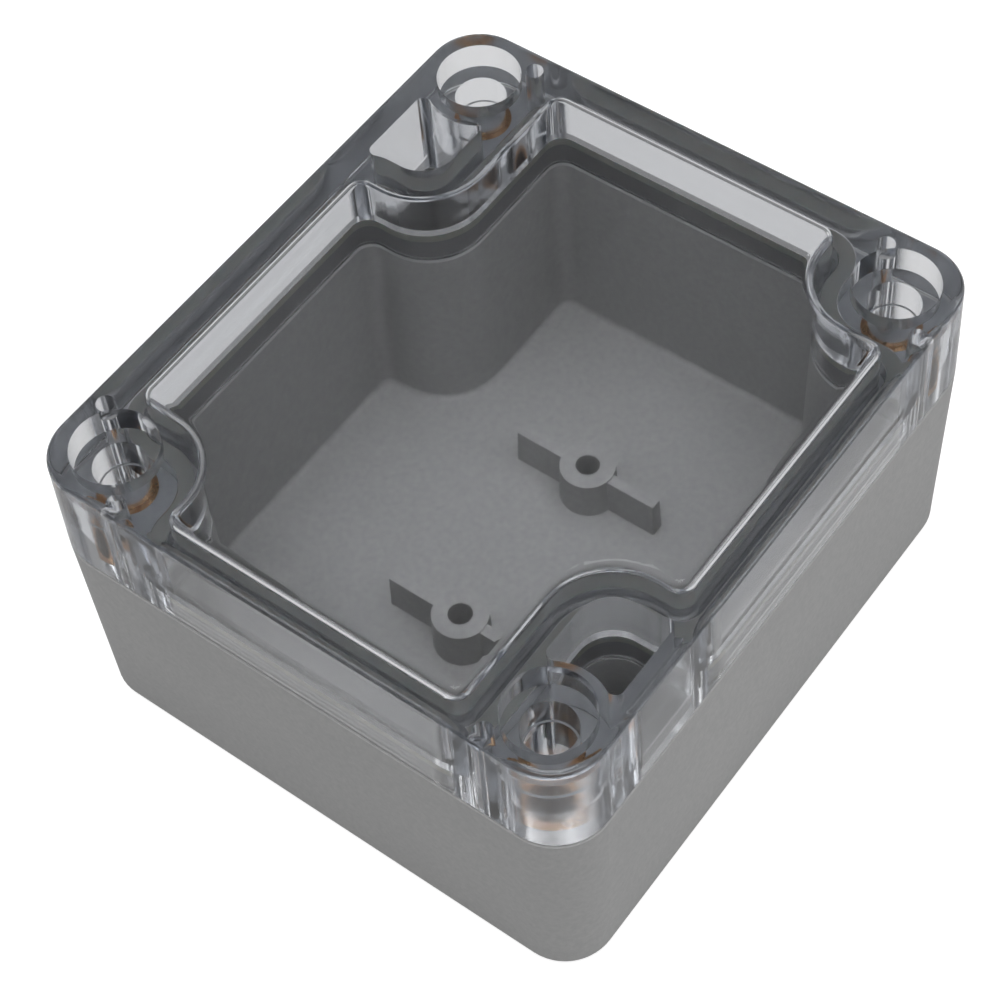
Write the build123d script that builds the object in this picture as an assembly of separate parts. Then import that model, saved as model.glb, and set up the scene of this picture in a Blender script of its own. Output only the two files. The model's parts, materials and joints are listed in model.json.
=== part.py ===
"""Small sealed enclosure: grey moulded box, clear lid, seal in a tongue and groove, four brass inserts.

Millimetres, +Z up. The origin is the centre of the underside, X runs along the long side and -Y is the
front. The plan is unchanged by half a turn about Z: at the front left and the back right corner the
cavity steps further in, to leave a pocket for a wall-mounting screw beside the lid screw.
"""
from build123d import *
from math import atan2, degrees
import os

# Outside of the closed enclosure
LENGTH = 64.5
WIDTH = 58.0
HEIGHT = 35.0
LID_HEIGHT = 11.5
CORNER_RADIUS = 5.3
BASE_DRAFT = 0.38
LID_DRAFT = 0.26
BOTTOM_EDGE_RADIUS = 0.8
TOP_EDGE_RADIUS = 0.7
PARTING_CHAMFER = 0.2

# Walls
END_WALL = 2.6
SIDE_WALL = 3.15
SEAL_WALL = 2.6
POCKET_WALL = 2.4
FLOOR = 2.5
LID_PLATE = 1.7
CAVITY_DRAFT_ANGLE = 1.0
CAVITY_FLOOR_RADIUS = 0.5
CAVITY_ROOF_RADIUS = 1.1
CAVITY_RIM_CHAMFER = 0.3

# Steps of the cavity around the corners, measured from the outer faces
PLAIN_STEP_X = 11.45
PLAIN_STEP_Y = 13.6
POCKET_STEP_X = 21.25
POCKET_STEP_Y = 12.4
STEP_INNER_RADIUS = 6.1
STEP_END_RADIUS = 1.8

# Seal between base and lid
TONGUE_WIDTH = 1.2
TONGUE_HEIGHT = 2.3
TONGUE_CHAMFER = 0.15
GROOVE_CLEARANCE = 0.2
SEAL_HEIGHT = 0.9
SEAL_SIDE_CLEARANCE = 0.05
SEAL_GAP = 0.1
SEAL_TOP_GAP = 0.02
RIM_GAP = 0.1

# Lid screws: M4, head in a well in the lid, thread in a moulded-in insert
SCREW_FROM_END = 5.95
SCREW_FROM_SIDE = 6.0
BOSS_RADIUS = 5.15
WELL_RADIUS = 4.05
WELL_DEPTH = 2.8
HOLE_UPPER_RADIUS = 2.5
HOLE_LOWER_RADIUS = 2.3
HOLE_LOWER_HEIGHT = 5.5
INSERT_RADIUS = 2.8
INSERT_LENGTH = 8.0
INSERT_BORE_RADIUS = 1.65
INSERT_WAIST_RADIUS = 2.1
INSERT_WAIST_LENGTH = 1.6
INSERT_CHAMFER = 0.4
SCREW_TIP_RADIUS = 1.9
SCREW_TIP_DEPTH = 4.0

# Round cores that thin the lid where boss, side wall and seal wall meet
CORE_RADIUS = 0.9
CORE_FROM_END = 1.9
CORE_FROM_SIDE = 1.65
CORE_OFFSET = 3.5

# Wall-mounting holes in the two pockets
MOUNT_HOLE_RADIUS = 2.15
POCKET_CORNER_RADIUS = 0.8

# Standoffs for a small circuit board
STANDOFF_SPACING = 20.8
STANDOFF_RADIUS = 2.9
STANDOFF_HEIGHT = 4.6
STANDOFF_DRAFT_ANGLE = 1.5
STANDOFF_HOLE_RADIUS = 1.2
STANDOFF_HOLE_DEPTH = 5.4
WING_REACH = 8.2
WING_THICKNESS = 1.4
WING_STEP = 0.2

# Levels and places that follow from the sizes above
PARTING = HEIGHT - LID_HEIGHT
LID_BOTTOM = PARTING + RIM_GAP
PLATE_UNDERSIDE = HEIGHT - LID_PLATE
TONGUE_TOP = PARTING + TONGUE_HEIGHT
SEAL_BOTTOM = TONGUE_TOP + SEAL_GAP
SEAL_TOP = SEAL_BOTTOM + SEAL_HEIGHT
GROOVE_TOP = SEAL_TOP + SEAL_TOP_GAP
TONGUE_START = (SEAL_WALL - TONGUE_WIDTH) / 2
GROOVE_START = TONGUE_START - GROOVE_CLEARANCE
GROOVE_WIDTH = TONGUE_WIDTH + 2 * GROOVE_CLEARANCE
SCREW_X = LENGTH / 2 - SCREW_FROM_END
SCREW_Y = WIDTH / 2 - SCREW_FROM_SIDE
INSERT_BOTTOM = PARTING - INSERT_LENGTH
POCKET_LEFT = LENGTH / 2 - POCKET_STEP_X + SEAL_WALL
POCKET_RIGHT = SCREW_X - BOSS_RADIUS
POCKET_NEAR = WIDTH / 2 - POCKET_STEP_Y + SEAL_WALL
POCKET_FAR = WIDTH / 2 - POCKET_WALL
POCKET_X = (POCKET_LEFT + POCKET_RIGHT) / 2
POCKET_Y = (POCKET_NEAR + POCKET_FAR) / 2

CORNERS = {
    "front_left": (-1, -1),
    "front_right": (1, -1),
    "back_right": (1, 1),
    "back_left": (-1, 1),
}


def cavity_plan(grow):
    """Plan of the cavity with its four stepped corners, its outline moved outwards by grow."""
    half_x = LENGTH / 2 - END_WALL + grow
    half_y = WIDTH / 2 - SIDE_WALL + grow
    plain_x = LENGTH / 2 - PLAIN_STEP_X + grow
    plain_y = WIDTH / 2 - PLAIN_STEP_Y + grow
    pocket_x = LENGTH / 2 - POCKET_STEP_X + grow
    pocket_y = WIDTH / 2 - POCKET_STEP_Y + grow
    half_outline = [
        (half_x, -plain_y),
        (half_x, pocket_y),
        (pocket_x, pocket_y),
        (pocket_x, half_y),
        (-plain_x, half_y),
        (-plain_x, plain_y),
    ]
    outline = half_outline + [(-x, -y) for x, y in half_outline]
    end = STEP_END_RADIUS + grow
    inner = STEP_INNER_RADIUS - grow
    radii = [end, end, inner, end, end, inner] * 2
    return make_face(FilletPolyline(*outline, radius=radii, close=True))


def ring_plan(start, width):
    """Closed band that follows the cavity, from start outside its wall face, width across."""
    return cavity_plan(start + width) - cavity_plan(start)


def prism(plan, bottom, top, draft=0):
    """The plan carried up from the level bottom to the level top, drawn in by the draft angle."""
    return extrude(Pos(0, 0, bottom) * plan, top - bottom, taper=draft)


def cavity_room(level, depth, radius):
    """Room for the cavity, depth above its widest level, or below it if negative.

    Its sides draw in towards the far end, where the edge is rounded.
    """
    plan = Pos(0, 0, level) * cavity_plan(0)
    room = extrude(plan, abs(depth), dir=(0, 0, depth), taper=CAVITY_DRAFT_ANGLE)
    return fillet(edges_at(room, level + depth), radius)


def drafted_block(level, depth, inset):
    """Round-cornered outer block, depth above its widest level, or below it if negative.

    Its sides draw in by inset towards the far end, so that it leaves the mould.
    """
    plan = Pos(0, 0, level) * RectangleRounded(LENGTH, WIDTH, CORNER_RADIUS)
    draft = degrees(atan2(inset, abs(depth)))
    return extrude(plan, abs(depth), dir=(0, 0, depth), taper=draft)


def edges_at(solid, level):
    """The edges of the solid that lie wholly at one level."""
    return solid.edges().filter_by_position(Axis.Z, level, level)


def pocket_plan():
    """Plan of the two wall-mounting pockets, between seal wall, outer wall and screw boss."""
    near_x = LENGTH / 2 - POCKET_STEP_X
    near_y = WIDTH / 2 - POCKET_STEP_Y
    screw = Vector(SCREW_X, SCREW_Y)
    room = Rectangle(SCREW_X - near_x, POCKET_FAR - near_y, align=Align.MIN)
    pocket = Pos(near_x, near_y) * room - cavity_plan(SEAL_WALL) - Pos(screw) * Circle(BOSS_RADIUS)
    pocket = pocket.faces().sort_by(SortBy.AREA)[-1]
    corners = pocket.vertices().group_by(Axis.Y)[-1]
    corners += [v for v in pocket.vertices() if v.Y < SCREW_Y and v.distance_to(screw) < BOSS_RADIUS + 0.01]
    pocket = fillet(corners, POCKET_CORNER_RADIUS)
    return pocket + pocket.rotate(Axis.Z, 180)


def insert_body(bore_radius):
    """Brass insert: a spool that the box is moulded around, with a bore of the given radius."""
    waist_top = (INSERT_LENGTH + INSERT_WAIST_LENGTH) / 2
    waist_bottom = (INSERT_LENGTH - INSERT_WAIST_LENGTH) / 2
    slope = INSERT_RADIUS - INSERT_WAIST_RADIUS
    outline = [
        (bore_radius, 0),
        (INSERT_RADIUS - INSERT_CHAMFER, 0),
        (INSERT_RADIUS, INSERT_CHAMFER),
        (INSERT_RADIUS, waist_bottom - slope),
        (INSERT_WAIST_RADIUS, waist_bottom),
        (INSERT_WAIST_RADIUS, waist_top),
        (INSERT_RADIUS, waist_top + slope),
        (INSERT_RADIUS, INSERT_LENGTH),
        (bore_radius, INSERT_LENGTH),
    ]
    section = make_face(Plane.XZ * Polyline(*outline, close=True))
    return Pos(0, 0, INSERT_BOTTOM) * revolve(section, Axis.Z)


def at_corners(shape):
    """One copy of the shape on each lid screw's axis."""
    return [Pos(x * SCREW_X, y * SCREW_Y) * shape for x, y in CORNERS.values()]


def standoff():
    """Round post with two thin wings, for a self-tapping board screw."""
    top = FLOOR + STANDOFF_HEIGHT
    wing_plan = Rectangle(WING_THICKNESS, 2 * WING_REACH)
    post = prism(Circle(STANDOFF_RADIUS), FLOOR, top, STANDOFF_DRAFT_ANGLE)
    wings = prism(wing_plan, FLOOR, top - WING_STEP, STANDOFF_DRAFT_ANGLE)
    return post + wings


def standoff_hole():
    """Pilot hole down through a standoff, ending inside the floor."""
    top = FLOOR + STANDOFF_HEIGHT
    return prism(Circle(STANDOFF_HOLE_RADIUS), top - STANDOFF_HOLE_DEPTH, top)


def base_box():
    """Grey box: stepped cavity, screw posts around the inserts, mounting pockets, tongue, standoffs."""
    box = drafted_block(PARTING, -PARTING, BASE_DRAFT)
    box = fillet(edges_at(box, 0), BOTTOM_EDGE_RADIUS)
    box = chamfer(edges_at(box, PARTING), PARTING_CHAMFER)
    box -= cavity_room(PARTING, FLOOR - PARTING, CAVITY_FLOOR_RADIUS)
    rim = Pos(0, 0, PARTING) * cavity_plan(CAVITY_RIM_CHAMFER)
    box -= extrude(rim, 2 * CAVITY_RIM_CHAMFER, dir=(0, 0, -1), taper=45)
    box -= prism(pocket_plan(), FLOOR, PARTING)
    tongue = prism(ring_plan(TONGUE_START, TONGUE_WIDTH), PARTING - TONGUE_WIDTH, TONGUE_TOP)
    box += chamfer(edges_at(tongue, TONGUE_TOP), TONGUE_CHAMFER)
    for side in (-1, 1):
        box -= Pos(side * POCKET_X, side * POCKET_Y) * prism(Circle(MOUNT_HOLE_RADIUS), 0, FLOOR)
        box += Pos(side * STANDOFF_SPACING / 2, 0) * standoff()
        box -= Pos(side * STANDOFF_SPACING / 2, 0) * standoff_hole()
    screw_tip = prism(Circle(SCREW_TIP_RADIUS), INSERT_BOTTOM - SCREW_TIP_DEPTH, INSERT_BOTTOM)
    for socket in at_corners(insert_body(0) + screw_tip):
        box -= socket
    return box


def screw_well():
    """Stepped hole for a lid screw: well for the head, then two bores that meet inside the boss."""
    well_floor = HEIGHT - WELL_DEPTH
    step = LID_BOTTOM + HOLE_LOWER_HEIGHT
    well = prism(Circle(WELL_RADIUS), well_floor, HEIGHT)
    upper = prism(Circle(HOLE_UPPER_RADIUS), step, well_floor)
    lower = prism(Circle(HOLE_LOWER_RADIUS), LID_BOTTOM, step)
    return well + upper + lower


def core_places():
    """Centres of the round cores: two at a short corner, one at a corner with a pocket."""
    beside_x = LENGTH / 2 - CORE_FROM_END
    beside_y = WIDTH / 2 - CORE_FROM_SIDE
    places = []
    for x, y in CORNERS.values():
        places.append((x * beside_x, y * (SCREW_Y - CORE_OFFSET)))
        if x != y:
            places.append((x * (SCREW_X - CORE_OFFSET), y * beside_y))
    return places


def lid():
    """Clear lid: plate, side wall, seal wall with its groove, screw bosses and cores in one moulding."""
    cover = drafted_block(LID_BOTTOM, HEIGHT - LID_BOTTOM, LID_DRAFT)
    cover = fillet(edges_at(cover, HEIGHT), TOP_EDGE_RADIUS)
    cover = chamfer(edges_at(cover, LID_BOTTOM), PARTING_CHAMFER)
    cover -= cavity_room(LID_BOTTOM, PLATE_UNDERSIDE - LID_BOTTOM, CAVITY_ROOF_RADIUS)
    cover -= prism(pocket_plan(), LID_BOTTOM, PLATE_UNDERSIDE)
    cover -= prism(ring_plan(GROOVE_START, GROOVE_WIDTH), LID_BOTTOM, GROOVE_TOP)
    for well in at_corners(screw_well()):
        cover -= well
    for x, y in core_places():
        cover -= Pos(x, y) * prism(Circle(CORE_RADIUS), LID_BOTTOM, PLATE_UNDERSIDE)
    return cover


def seal():
    """Silicone cord laid in the lid's groove, above the box's tongue."""
    start = GROOVE_START + SEAL_SIDE_CLEARANCE
    width = GROOVE_WIDTH - 2 * SEAL_SIDE_CLEARANCE
    return prism(ring_plan(start, width), SEAL_BOTTOM, SEAL_TOP)


def write_parts(parts):
    """Write one STEP file for each named piece."""
    os.makedirs("parts", exist_ok=True)
    for name, shape in parts.items():
        export_step(shape, f"parts/{name}.step")


pieces = {"base_box": base_box(), "lid": lid(), "seal": seal()}
for corner, (x, y) in CORNERS.items():
    pieces[f"insert_{corner}"] = Pos(x * SCREW_X, y * SCREW_Y) * insert_body(INSERT_BORE_RADIUS)
write_parts(pieces)
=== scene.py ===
"""Looks for the small sealed enclosure: grey moulded box, clear lid, brass inserts and silicone seal.

Metres, +Z up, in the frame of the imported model. The real shapes are the CAD nodes; this script gives
them their materials and sets the floor, lamps and camera.
"""
import json
import math

import bpy
from mathutils import Matrix, Vector

# Camera, fitted to the outline and the parting line in the photograph
CAMERA_PLACE = Vector((-0.10325, -0.08683, 0.20731))
CAMERA_TARGET = Vector((-0.00316, -0.00002, 0.018))
CAMERA_ROLL = math.radians(-5.547)
CAMERA_LENS = 90.343
CAMERA_SENSOR_WIDTH = 36.0
CAMERA_CLIP_START = 0.01

# Floor, and the share of its white shown to rays mirrored in the part or passing through its lid
FLOOR_HALF_SIDE = 3.0
FLOOR_GLOW = 0.8
MIRRORED_SHARE = 0.2
THROUGH_SHARE = 0.4

# The world's light on the part, and the white that the camera sees past the floor
WORLD_LIGHT = 0.3
WORLD_WHITE = 1.0
LAMP_TARGET = Vector((0, 0, 0.02))

# Light bounces, enough for the many faces of the clear lid
BOUNCES = 32
GLOSSY_BOUNCES = 16

# Colours, in linear light
WHITE = (1, 1, 1, 1)
FLOOR_PLAIN = (0.4, 0.4, 0.4, 1)
FLOOR_SHADOW = (0.35, 0.35, 0.35, 1)
BOX_DARK = (0.365, 0.365, 0.367, 1)
BOX_LIGHT = (0.425, 0.425, 0.422, 1)
BOX_FLOW = (0.38, 0.382, 0.388, 1)
LID_CLEAR = (0.92, 0.922, 0.93, 1)
LID_MIRROR = (0.3, 0.3, 0.3, 1)
LID_SMOKE = (0.72, 0.74, 0.77, 1)
SEAL_DARK = (0.58, 0.56, 0.49, 1)
SEAL_LIGHT = (0.68, 0.66, 0.59, 1)
# Painted shade: the dark grey given to the seal's level faces
SEAL_PAINTED_SHADE = (0.23, 0.222, 0.205, 1)
BRASS_BARE = (0.55, 0.33, 0.17, 1)
BRASS_STAINED = (0.30, 0.15, 0.08, 1)

# Refractive index of the box and the lid, and how fast the lid's smoke grows with its thickness
BOX_INDEX = 1.53
LID_INDEX = 1.585
SMOKE_DENSITY = 120.0

# Places of the mix node's sockets by type of data: factor, first, second and result
MIX_SOCKETS = {"FLOAT": (0, 2, 3, 0), "RGBA": (0, 6, 7, 2)}


class Nodes:
    """A material's or world's node tree with short ways to add and join nodes."""

    def __init__(self, tree):
        tree.nodes.clear()
        self.tree = tree

    def put(self, socket, value):
        """A link if value is a socket, and a plain value if not."""
        if isinstance(value, bpy.types.NodeSocket):
            self.tree.links.new(value, socket)
        else:
            socket.default_value = value

    def add(self, kind, *in_order, **by_name):
        """A new node whose inputs are given in their order or by name, with _ for a space."""
        node = self.tree.nodes.new(kind)
        for socket, value in zip(node.inputs, in_order):
            self.put(socket, value)
        for name, value in by_name.items():
            self.put(node.inputs[name.replace("_", " ")], value)
        return node

    def mix(self, data_type, factor, first, second):
        """first where the factor is 0 and second where it is 1."""
        node = self.add("ShaderNodeMix")
        node.data_type = data_type
        at_factor, at_first, at_second, at_result = MIX_SOCKETS[data_type]
        self.put(node.inputs[at_factor], factor)
        self.put(node.inputs[at_first], first)
        self.put(node.inputs[at_second], second)
        return node.outputs[at_result]

    def math(self, operation, first, second=0.0):
        node = self.add("ShaderNodeMath", first, second)
        node.operation = operation
        return node.outputs[0]

    def levelness(self):
        """0 on upright faces and 1 on level ones."""
        facing = self.add("ShaderNodeNewGeometry")
        parts = self.add("ShaderNodeSeparateXYZ", facing.outputs["True Normal"])
        return self.math("ABSOLUTE", parts.outputs["Z"])

    def piece_coordinates(self):
        """Coordinates that stay with the piece when it moves."""
        return self.add("ShaderNodeTexCoord").outputs["Object"]

    def noise(self, scale, detail, roughness):
        place = self.piece_coordinates()
        node = self.add("ShaderNodeTexNoise", Vector=place, Scale=scale, Detail=detail, Roughness=roughness)
        return node.outputs["Fac"]

    def ramp(self, value, span, to=(0.0, 1.0)):
        """value mapped from the span to the range given as to, held at the ends."""
        node = self.add("ShaderNodeMapRange", Value=value)
        self.put(node.inputs["From Min"], span[0])
        self.put(node.inputs["From Max"], span[1])
        self.put(node.inputs["To Min"], to[0])
        self.put(node.inputs["To Max"], to[1])
        return node.outputs["Result"]

    def bump(self, height, strength, distance):
        node = self.add("ShaderNodeBump", Height=height, Strength=strength, Distance=distance)
        return node.outputs["Normal"]

    def surface(self, **values):
        """The principled shader, joined to a new material output, which is returned."""
        shader = self.add("ShaderNodeBsdfPrincipled", **values)
        return self.add("ShaderNodeOutputMaterial", Surface=shader.outputs[0])


def new_material(name):
    material = bpy.data.materials.new(name)
    material.use_nodes = True
    return material, Nodes(material.node_tree)


def box_plastic():
    """Grey moulded plastic with a fine spark-eroded grain and a faint speckle."""
    material, n = new_material("box_plastic")
    grain = n.noise(scale=2600.0, detail=2.0, roughness=0.6)
    flow = n.noise(scale=60.0, detail=2.0, roughness=0.5)
    speckle = n.ramp(n.noise(scale=1500.0, detail=3.0, roughness=0.7), (0.3, 0.7))
    speckled = n.mix("RGBA", speckle, BOX_DARK, BOX_LIGHT)
    n.surface(
        Base_Color=n.mix("RGBA", n.ramp(flow, (0.3, 0.7), to=(0.0, 0.2)), speckled, BOX_FLOW),
        Roughness=n.ramp(flow, (0.2, 0.8), to=(0.42, 0.52)),
        Normal=n.bump(grain, strength=0.35, distance=0.00006),
        IOR=BOX_INDEX,
        Specular_IOR_Level=0.2,
    )
    return material


def lid_plastic():
    """Clear polycarbonate, smoother on level faces, and greyer the more of it the light passes."""
    material, n = new_material("lid_plastic")
    waves = n.noise(scale=70.0, detail=1.0, roughness=0.4)
    cloud = n.noise(scale=900.0, detail=3.0, roughness=0.6)
    upright = n.ramp(cloud, (0.3, 0.8), to=(0.10, 0.16))
    level = n.ramp(cloud, (0.3, 0.8), to=(0.02, 0.05))
    output = n.surface(
        Base_Color=LID_CLEAR,
        Roughness=n.mix("FLOAT", n.ramp(n.levelness(), (0.7, 0.95)), upright, level),
        Normal=n.bump(waves, strength=0.05, distance=0.0002),
        IOR=LID_INDEX,
        Specular_Tint=LID_MIRROR,
        Transmission_Weight=1.0,
    )
    smoke = n.add("ShaderNodeVolumeAbsorption", Color=LID_SMOKE, Density=SMOKE_DENSITY)
    n.put(output.inputs["Volume"], smoke.outputs[0])
    return material


def seal_rubber():
    """Pale silicone rubber, with painted shade that darkens its level faces."""
    material, n = new_material("seal_rubber")
    cloud = n.noise(scale=700.0, detail=2.0, roughness=0.5)
    side = n.mix("RGBA", n.ramp(cloud, (0.3, 0.7)), SEAL_DARK, SEAL_LIGHT)
    n.surface(
        # Painted shade: level faces take a dark grey in place of the pale rubber
        Base_Color=n.mix("RGBA", n.ramp(n.levelness(), (0.8, 0.95)), side, SEAL_PAINTED_SHADE),
        Roughness=0.55,
        Normal=n.bump(cloud, strength=0.15, distance=0.00004),
        Subsurface_Weight=0.1,
    )
    return material


def insert_brass():
    """Turned brass with fine tool marks and darker stains."""
    material, n = new_material("insert_brass")
    marks = n.add("ShaderNodeTexWave", Vector=n.piece_coordinates(), Scale=900.0, Distortion=1.5)
    marks.wave_type = "BANDS"
    marks.bands_direction = "Z"
    stain = n.ramp(n.noise(scale=900.0, detail=3.0, roughness=0.6), (0.35, 0.7))
    n.surface(
        Base_Color=n.mix("RGBA", stain, BRASS_BARE, BRASS_STAINED),
        Metallic=1.0,
        Roughness=n.ramp(stain, (0.0, 1.0), to=(0.22, 0.42)),
        Normal=n.bump(marks.outputs["Fac"], strength=0.3, distance=0.00005),
    )
    return material


def floor_material():
    """White with a soft shadow to the camera, and a plain pale floor to other rays.

    Rays mirrored in the part or passing through its lid see a share of the white.
    """
    material, n = new_material("floor")
    path = n.add("ShaderNodeLightPath")
    mirrored = n.math("MULTIPLY", path.outputs["Is Glossy Ray"], MIRRORED_SHARE)
    through = n.math("MULTIPLY", path.outputs["Is Transmission Ray"], THROUGH_SHARE)
    seen = n.math("MAXIMUM", path.outputs["Is Camera Ray"], n.math("MAXIMUM", mirrored, through))
    plain = n.add("ShaderNodeBsdfDiffuse", Color=FLOOR_PLAIN)
    shadow = n.add("ShaderNodeBsdfDiffuse", Color=FLOOR_SHADOW)
    glow = n.add("ShaderNodeEmission", Color=WHITE, Strength=FLOOR_GLOW)
    white = n.add("ShaderNodeAddShader", shadow.outputs[0], glow.outputs[0])
    both = n.add("ShaderNodeMixShader", seen, plain.outputs[0], white.outputs[0])
    n.add("ShaderNodeOutputMaterial", Surface=both.outputs[0])
    return material


def dress(frame):
    """Gives every CAD node the material of its slot."""
    materials = {
        "box_plastic": box_plastic(),
        "lid_plastic": lid_plastic(),
        "seal_rubber": seal_rubber(),
        "insert_brass": insert_brass(),
    }
    slots = {p["node"]: p["material_slot"] for p in frame["record"]["subparts"]}
    for name, node in frame["nodes"].items():
        node.data.materials.clear()
        node.data.materials.append(materials[slots[name]])


def make_floor():
    mesh = bpy.data.meshes.new("floor")
    s = FLOOR_HALF_SIDE
    mesh.from_pydata([(-s, -s, 0), (s, -s, 0), (s, s, 0), (-s, s, 0)], [], [(0, 1, 2, 3)])
    mesh.materials.append(floor_material())
    floor = bpy.data.objects.new("floor", mesh)
    bpy.context.scene.collection.objects.link(floor)


def make_world():
    """Soft light from all round, with a white background for what the camera sees past the floor."""
    world = bpy.data.worlds.new("studio")
    bpy.context.scene.world = world
    world.use_nodes = True
    n = Nodes(world.node_tree)
    path = n.add("ShaderNodeLightPath")
    light = n.add("ShaderNodeBackground", Color=WHITE, Strength=WORLD_LIGHT)
    white = n.add("ShaderNodeBackground", Color=WHITE, Strength=WORLD_WHITE)
    both = n.add("ShaderNodeMixShader", path.outputs["Is Camera Ray"], light.outputs[0], white.outputs[0])
    n.add("ShaderNodeOutputWorld", Surface=both.outputs[0])


def aim(place, target, roll=0.0):
    """Matrix at place that looks at target, as cameras and lamps do along their -Z."""
    turn = (target - place).to_track_quat("-Z", "Y").to_matrix().to_4x4()
    return Matrix.Translation(place) @ turn @ Matrix.Rotation(roll, 4, "Z")


def make_lamp(name, place, side, power):
    """Square lamp aimed at the part, with its side in metres and its power in watts."""
    lamp = bpy.data.lights.new(name, "AREA")
    lamp.shape = "SQUARE"
    lamp.size = side
    lamp.energy = power
    holder = bpy.data.objects.new(name, lamp)
    holder.matrix_world = aim(Vector(place), LAMP_TARGET)
    bpy.context.scene.collection.objects.link(holder)


def make_camera():
    data = bpy.data.cameras.new("camera")
    data.lens = CAMERA_LENS
    data.sensor_width = CAMERA_SENSOR_WIDTH
    data.clip_start = CAMERA_CLIP_START
    camera = bpy.data.objects.new("camera", data)
    camera.matrix_world = aim(CAMERA_PLACE, CAMERA_TARGET, CAMERA_ROLL)
    bpy.context.scene.collection.objects.link(camera)
    bpy.context.scene.camera = camera


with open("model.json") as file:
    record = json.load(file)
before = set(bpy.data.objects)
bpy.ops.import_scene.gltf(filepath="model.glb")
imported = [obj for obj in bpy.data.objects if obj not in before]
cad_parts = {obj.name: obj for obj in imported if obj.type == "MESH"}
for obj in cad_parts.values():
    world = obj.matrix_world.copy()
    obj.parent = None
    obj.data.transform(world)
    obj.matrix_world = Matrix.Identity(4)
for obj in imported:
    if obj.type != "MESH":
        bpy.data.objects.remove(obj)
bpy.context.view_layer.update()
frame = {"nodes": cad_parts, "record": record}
dress(frame)
make_floor()
make_world()
make_lamp("key", place=(0.42, -0.66, 0.6), side=0.9, power=2.2)
make_lamp("top", place=(-0.14, -0.08, 1.2), side=0.7, power=15.0)
make_camera()

scene = bpy.context.scene
scene.view_settings.view_transform = "Standard"
scene.cycles.max_bounces = BOUNCES
scene.cycles.transmission_bounces = BOUNCES
scene.cycles.glossy_bounces = GLOSSY_BOUNCES
scene.cycles.use_denoising = True
